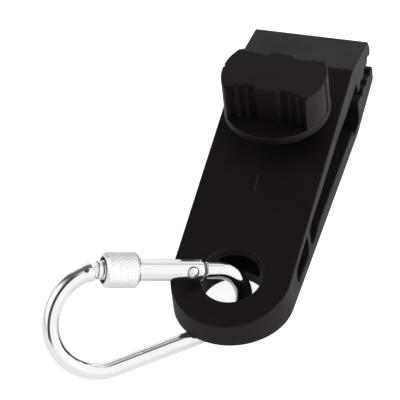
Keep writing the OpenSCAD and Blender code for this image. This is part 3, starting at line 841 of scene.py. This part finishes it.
place(carabiner_rod, loop_frame, polished, 40)
nose_end = Vector(path[0])
off_nose = (nose_end - Vector(path[1])).normalized()


def in_rod_gaps(at):
    """True on the tongue and on the nose's end face, which get painted shade."""
    by_gate, by_nose = to_gate.inverted() @ at, at - nose_end
    on_tongue = (abs(by_gate.z) < TONGUE_T / 2 + NEAR and abs(by_gate.y) < CAM_H + NEAR
                 and -12 < by_gate.x < -STUB_L - 0.02)
    return on_tongue or (by_nose.length < 3 and by_nose.dot(off_nose) > -0.08)


# The tongue and the nose's end face get the dark grey finish: painted shade in the gap.
shade_where(carabiner_rod, loop_frame, painted_shade_metal, in_rod_gaps)

# %% [markdown]
# ## The gate
# The gate is a turned tube. Its hinge end is flat with a softened edge and slotted for the tongue, a
# rivet crosses it, and a flat latch stands out of its tip. It is turned as one profile with the small
# steps that the lathe leaves, and the slot, the spring's bore and the rivet's hole are carved out. The
# seat of the rivet is wide on the near side and tight on the far side.

# %% Turn the gate
GATE_R, HINGE_R, TIP_R, TUBE_X, STEP_X, HINGE_X = 2.55, 2.65, 2.3, 29.5, 20.75, -RIVET_SET + 3
SLOT_END, SLOT_HALF, SPRING_BORE_R, HINGE_SOFT = -RIVET_SET - 2.62, 1.07, 1.21, 0.12
SEAT_Z, NEAR_SEAT_R, FAR_SEAT_R, PIN_BORE_R = 1.95, 1.5, 1.22, 1.02
LATCH_TIP, LATCH_ROOT, LATCH_FOOT, LATCH_TOP, LATCH_HALF = -TIP_X - 1.8, -TIP_X + 1, -1.6, 0.6, 0.6
profile = [
    (-TIP_X, 0), (-TIP_X, TIP_R - 0.3), (-TIP_X + 0.1, TIP_R - 0.08), (-TIP_X + 0.3, TIP_R),
    (-TUBE_X - 0.5, TIP_R), (-TUBE_X - 0.3, TIP_R - 0.05), (-TUBE_X - 0.1, GATE_R - 0.15),
    (-TUBE_X + 0.1, GATE_R), (-STEP_X - 0.1, GATE_R), (-STEP_X, HINGE_R), (HINGE_X - 0.3, HINGE_R),
    (HINGE_X - 0.05, HINGE_R - 0.12), (HINGE_X, HINGE_R - 0.3), (HINGE_X, 0)]
gate_tube = turned("gate_tube", profile, "X", sides=72)
slot_plan = [(SLOT_END, -4), (0, -4), (0, 4), (SLOT_END, 4)]
carve(gate_tube, extruded("tongue_slot", slot_plan, -SLOT_HALF, SLOT_HALF, "Z"))
carve(gate_tube, cylinder("spring_bore", -18, -6, SPRING_BORE_R, "X", sides=32))
rivet_hole = turned("rivet_hole", [
    (-4, 0), (-4, FAR_SEAT_R), (-SEAT_Z, FAR_SEAT_R), (-SEAT_Z, PIN_BORE_R), (SEAT_Z, PIN_BORE_R),
    (SEAT_Z, NEAR_SEAT_R), (4, NEAR_SEAT_R), (4, 0)], "Z", sides=40)
rivet_hole.data.transform(Matrix.Translation((-RIVET_SET, 0, 0)))
carve(gate_tube, rivet_hole)
latch_plan = rounded_outline([
    (LATCH_TIP, LATCH_FOOT, 0.3), (LATCH_ROOT, LATCH_FOOT, 0), (LATCH_ROOT, LATCH_TOP, 0),
    (LATCH_TIP, LATCH_TOP, 0.3)])
carve(gate_tube, extruded("latch", latch_plan, -LATCH_HALF, LATCH_HALF, "Z"), "UNION")


def hinge_softness(at):
    """All along the edges of the hinge end and its slot, none beside the rivet and further along."""
    return 1.0 if at.x > -10.3 and abs(at.x + RIVET_SET) > NEAR_SEAT_R else 0.0


soften(gate_tube, HINGE_SOFT, hinge_softness, steps=2, sharp=40)
lay_along(gate_tube, "X")
place(gate_tube, gate_frame, polished, 40)


def in_gate_gaps(at):
    """True in the rivet's near seat, the tongue's slot and the tip's edge: painted shade."""
    in_seat = math.hypot(at.x + RIVET_SET, at.y) < NEAR_SEAT_R - 0.005 and at.z > SEAT_Z - 0.05
    in_slot = abs(at.z) < SLOT_HALF + NEAR and at.x > SLOT_END - NEAR
    on_tip = -TIP_X + 0.02 < at.x < -TIP_X + 0.15 and math.hypot(at.y, at.z) > 1.9
    return in_seat or in_slot or on_tip


# The rivet's near seat, the tongue's slot and the tip's edge get the dark grey finish: painted shade.
shade_where(gate_tube, gate_frame, painted_shade_metal, in_gate_gaps)

# %% [markdown]
# ## The lock sleeve
# A short sleeve screws along the gate to lock it. Its outside is knurled: two crossing sets of fine
# grooves leave small diamonds. The sleeve is turned with many rows, and a tree moves the outer rows by
# the crossing rule, so the number of diamonds, their lean and their height stay inputs. Both ends stay
# plain, and the nose end is open wide.

# %% Turn and knurl the sleeve
SLEEVE_FROM, SLEEVE_TO, SLEEVE_R, CHAMFER = -20.9, -29.5, 4.4, 0.6
SHOULDER_R, MOUTH_R, MOUTH_L, RUN_R, ROWS = SLEEVE_R - CHAMFER, 3.2, 2, 2.62, 90
KNURL_FLANK, PHASE_SHIFT = 3.0, 400.0
knurl_tree, given, put, do, geo = shape_tree("diamond_knurl", {
    "Around": 34.0, "Lean": 0.6, "Height": 0.14, "From": -28.9, "To": -21.6, "Skin": 4.05})
xyz = put("SeparateXYZ", {0: geo("InputPosition")}).outputs
turns = do("/", do("ARCTAN2", xyz["Z"], xyz["Y"]), 2 * math.pi)
angle = do("*", turns, given["Around"])
climb = do("*", xyz["X"], do("*", given["Lean"], 2.0))
ridges = []
for sign in "+-":
    turn = do("FRACT", do(sign, do("+", angle, PHASE_SHIFT), climb))
    ridge = do("ABSOLUTE", do("-", turn, 0.5))
    ridges.append(do("MINIMUM", do("*", ridge, KNURL_FLANK), 1.0))
groove = do("-", 1.0, do("MINIMUM", *ridges))
radius = from_axis(do, xyz["Y"], xyz["Z"])
outside = do("GREATER_THAN", radius, given["Skin"])
inside_band = do(
    "*", do("GREATER_THAN", xyz["X"], given["From"]), do("LESS_THAN", xyz["X"], given["To"]))
cut = do("*", do("*", groove, given["Height"]), do("*", outside, inside_band))
keep = do("/", do("-", radius, cut), radius)
moved = put("CombineXYZ", {"X": xyz["X"], "Y": do("*", xyz["Y"], keep), "Z": do("*", xyz["Z"], keep)})
cut_skin = geo("SetPosition", {"Geometry": given["Geometry"], "Position": moved})
close_tree(knurl_tree, given, cut_skin)
profile = [
    (SLEEVE_FROM, RUN_R + 0.1), (SLEEVE_FROM, SHOULDER_R - 0.1), (SLEEVE_FROM - 0.12, SHOULDER_R + 0.1)]
band = SLEEVE_TO + CHAMFER - SLEEVE_FROM + CHAMFER
profile += [(SLEEVE_FROM - CHAMFER + band * k / ROWS, SLEEVE_R) for k in range(ROWS + 1)]
profile += [
    (SLEEVE_TO + 0.12, SHOULDER_R + 0.1), (SLEEVE_TO, SHOULDER_R - 0.1), (SLEEVE_TO, MOUTH_R + 0.1),
    (SLEEVE_TO + 0.15, MOUTH_R), (SLEEVE_TO + MOUTH_L, MOUTH_R), (SLEEVE_TO + MOUTH_L, RUN_R),
    (SLEEVE_FROM - 0.1, RUN_R)]
lock_ring = turned("lock_ring", profile, "X", sides=340, closed=True)
grow(lock_ring, knurl_tree, knurled)
lay_along(lock_ring, "X")
place(lock_ring, gate_frame, knurled, 50)
# The inside of the sleeve's mouth gets the darker steel finish as painted shade.
shade_where(lock_ring, gate_frame, spring_steel, lambda at: math.hypot(at.y, at.z) < MOUTH_R + 0.05)

# %% [markdown]
# ## The gate's rivet
# The rivet's two ends are peened into low domes that stand in the seats in the gate. It is turned as
# one profile: dome, head, shank, head, dome.

# %% Turn the rivet
HEAD_R, HEAD_Z, DOME_H, PIN_R = 1.2, 2.62, 0.22, 1.0
dome = [(HEAD_Z - DOME_H * (r / HEAD_R) ** 2, r) for r in (0, 0.3, 0.6, 0.85, 1.05, 1.14)]
dome += [(2.3, HEAD_R), (SEAT_Z, HEAD_R), (SEAT_Z, PIN_R)]
hinge_rivet = turned("hinge_rivet", dome + [(-z, r) for z, r in reversed(dome)], "Z", sides=40)
hinge_rivet.data.transform(Matrix.Translation((-RIVET_SET, 0, 0)))
lay_along(hinge_rivet, "Z")
place(hinge_rivet, gate_frame, plated, 45)

# %% [markdown]
# ## The gate's spring
# A small coil in the gate pushes the plunger against the tongue. It can't be seen while the gate is
# whole, but it has to shorten when the gate opens, so it is a piece of its own that hangs between the
# plunger and the gate. A spiral curve with a round wire swept along it is the whole tree.

# %% Wind the spring
SPRING_FROM, SPRING_TO, WIRE_R = -11.56, -17.76, 0.2
coil_tree, given, put, do, geo = shape_tree("wound_spring", {
    "Turns": 5.0, "Length": 6.2, "Coil radius": 0.81, "Wire diameter": 0.4})
spiral = geo("CurveSpiral", {
    "Resolution": 24, "Rotations": given["Turns"], "Start Radius": given["Coil radius"],
    "End Radius": given["Coil radius"], "Height": given["Length"]})
wire_radius = do("*", given["Wire diameter"], 0.5)
wire_ring = geo("CurvePrimitiveCircle", {"Resolution": 12, "Radius": wire_radius})
coil = geo("CurveToMesh", {"Curve": spiral, "Profile Curve": wire_ring, "Fill Caps": True})
close_tree(coil_tree, given, coil)
spring_coil = add_piece("spring_coil", [(0, 0, 0)], [])
grow(spring_coil, coil_tree, spring_steel, Length=SPRING_FROM - SPRING_TO - 2 * WIRE_R)
laid_down = Matrix.Rotation(-math.pi / 2, 4, "Y")
spring_coil.data.transform(Matrix.Translation((SPRING_FROM - WIRE_R, 0, 0)) @ laid_down)
place(spring_coil, gate_frame, spring_steel, 60)

# %% [markdown]
# ## What moves with what
# Each dressed piece stands for one solid and moves with that solid's body. Two pieces follow two
# bodies. The upper arm is the same nylon as the body and bends at its thin root, so it follows the body
# at the seam and the jaw a few millimetres further on, and the seam never opens. The spring follows the
# plunger with one end and the gate with the other.

# %% Hang the pieces on the bodies
BEND_FROM, BEND_TO, BEND_Z = 18.6, 24.5, 12
for piece, body, node in (
        (clip_moulding, "body", "clip_body"), (thumb_knob, "knob", "clamp_knob"),
        (clamp_screw, "stud", "clamp_stud"), (carabiner_rod, "carabiner", "carabiner_frame"),
        (gate_tube, "gate", "gate_arm"), (lock_ring, "sleeve", "lock_sleeve"),
        (hinge_rivet, "gate", "gate_rivet")):
    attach(piece, body)
    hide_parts(node)
bend_from = clip_frame @ (Vector((0, BEND_FROM, BEND_Z)) * MM)
bend_to = clip_frame @ (Vector((0, BEND_TO, BEND_Z)) * MM)
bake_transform(upper_arm, "body", "jaw", start=tuple(bend_from), end=tuple(bend_to))
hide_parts("upper_jaw")
coil_ends = [tuple(gate_frame @ (Vector((x, 0, 0)) * MM)) for x in (SPRING_FROM, SPRING_TO)]
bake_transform(spring_coil, "plunger", "gate", start=coil_ends[0], end=coil_ends[1])
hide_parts("gate_spring")

# %% [markdown]
# ## Floor, light and backdrop
# The photograph has a plain white ground with hardly any shadow. The floor is white and also glows a
# little, only for camera and mirror rays, so it reads as white without putting more light on the
# object, and the shadow stays. Polished metal is only as good as what it mirrors. Its lines in the
# photograph tell of a white tent: bright walls with two dark upright gaps, one in front and one behind,
# a dimmer ceiling, a thin dark ledge low on the left where wall meets table, and one small dark spot.

# %% Lay the floor
FLOOR_HALF, FLOOR_Z, SEEN_GLOW, MIRROR_GLOW = 3, -0.00002, 0.84, 0.25
corners = [(x * FLOOR_HALF, y * FLOOR_HALF, FLOOR_Z) for x, y in ((-1, -1), (1, -1), (1, 1), (-1, 1))]
floor = add_piece("floor", corners, [(0, 1, 2, 3)])
paper, tree, shader = finish_tree(
    "white_paper", Roughness=0.9, Specular_IOR_Level=0.0, Base_Color=(0.8, 0.8, 0.8, 1))
put, do, _ = tree_tools(tree)
rays = put("LightPath").outputs
spot = put("TexCoord").outputs["Object"]
fibre = put("TexNoise", {"Vector": spot, "Scale": 400.0})
in_view = do("*", rays["Is Camera Ray"], SEEN_GLOW)
in_mirrors = do("*", rays["Is Glossy Ray"], MIRROR_GLOW)
uneven = do("+", 0.99, do("*", fibre, 0.02))
glow = put("Emission", {"Strength": do("*", do("+", in_view, in_mirrors), uneven)})
mixed = put("AddShader", {0: shader, 1: glow})
wire(tree, mixed, tree.nodes["Material Output"].inputs["Surface"])
floor.data.materials.append(paper)
floor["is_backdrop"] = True
print("made", paper.name)

# %% Light the studio
LEDGE_Z, SPOT_TOWARDS, TABLE = 0.06, (0.388, 0.62, 0.682), (0, 0, 0.01)
world = bpy.data.worlds.new("studio")
bpy.context.scene.world = world
world.use_nodes = True
tree = world.node_tree
put, do, _ = tree_tools(tree)
sky = tree.nodes["Background"]
towards = put("TexCoord").outputs["Generated"]
axes = put("SeparateXYZ", {0: towards}).outputs


def share_towards(direction):
    """How far the view goes in a direction, from -1 to 1."""
    return put("VectorMath", {0: towards, 1: direction}, operation="DOT_PRODUCT").outputs["Value"]


def ramped(value, low, high):
    """Rises softly from 0 to 1 as a value goes from low to high; low may be the larger one."""
    return ranged(put, value, (low, high), interpolation_type="SMOOTHSTEP")


def upright_gap(heading, core, edge, foot):
    """A dark gap between two white walls, from low down at a heading up to the top of the tent."""
    turn = math.radians(heading)
    beside = share_towards((math.cos(turn), -math.sin(turn), 0))
    ahead = share_towards((math.sin(turn), math.cos(turn), 0))
    narrow = do("*", ramped(do("ABSOLUTE", beside), edge, core), ramped(ahead, -0.05, 0.1))
    return do("*", narrow, ramped(axes["Z"], foot, foot + 0.12))


front_gap = do("*", upright_gap(heading=-174, core=0.2, edge=0.36, foot=-0.03), 0.94)
back_gap = do("*", upright_gap(heading=-55, core=0.1, edge=0.26, foot=0.1), 0.88)
ceiling = do(
    "*", upright_gap(heading=-30, core=0.2, edge=0.7, foot=0.1),
    do("*", ramped(axes["Z"], 0.3, 0.65), 0.85))
ledge = ramped(do("ABSOLUTE", do("-", axes["Z"], LEDGE_Z)), 0.09, 0.04)
ledge = do("*", do("*", ledge, ramped(axes["X"], -0.5, -0.8)), 0.7)
dark_spot = do("*", ramped(share_towards(SPOT_TOWARDS), 0.988, 0.998), 0.5)
darkest = front_gap
for part in (back_gap, ledge, dark_spot, ceiling):
    darkest = do("MAXIMUM", darkest, part)
bright = do("-", 1.0, darkest)
rays = put("LightPath").outputs
wire(tree, do("MAXIMUM", bright, rays["Is Camera Ray"]), sky.inputs["Color"])
sky.inputs["Strength"].default_value = 1.0


def soft_lamp(name, at, aim, size, power):
    """A square area lamp at a point, aimed at another."""
    lamp = add_object(name, bpy.data.lights.new(name, "AREA"))
    lamp.data.size = size
    lamp.data.energy = power
    lamp.location = at
    lamp.rotation_euler = (Vector(aim) - Vector(at)).to_track_quat("-Z", "Y").to_euler()


soft_lamp("right_box", (1.1, -0.2, 0.24), TABLE, size=0.45, power=6.5)
soft_lamp("left_box", (-0.8, -0.25, 0.75), TABLE, size=0.6, power=1.0)
bpy.context.scene.view_settings.view_transform = "Standard"

# %% [markdown]
# ## The two boxes
# Both boxes, of the solids and of the dressed object, are printed side by side, so they can be
# compared after each run. The dressed object must not outgrow the solids.

# %% Write both boxes and finish
dressed_box = [list(corner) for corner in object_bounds()]
for low_high, cad, dressed in zip(("lowest", "highest"), cad_box, dressed_box):
    print(low_high, [round(v / MM, 2) for v in cad], [round(v / MM, 2) for v in dressed])
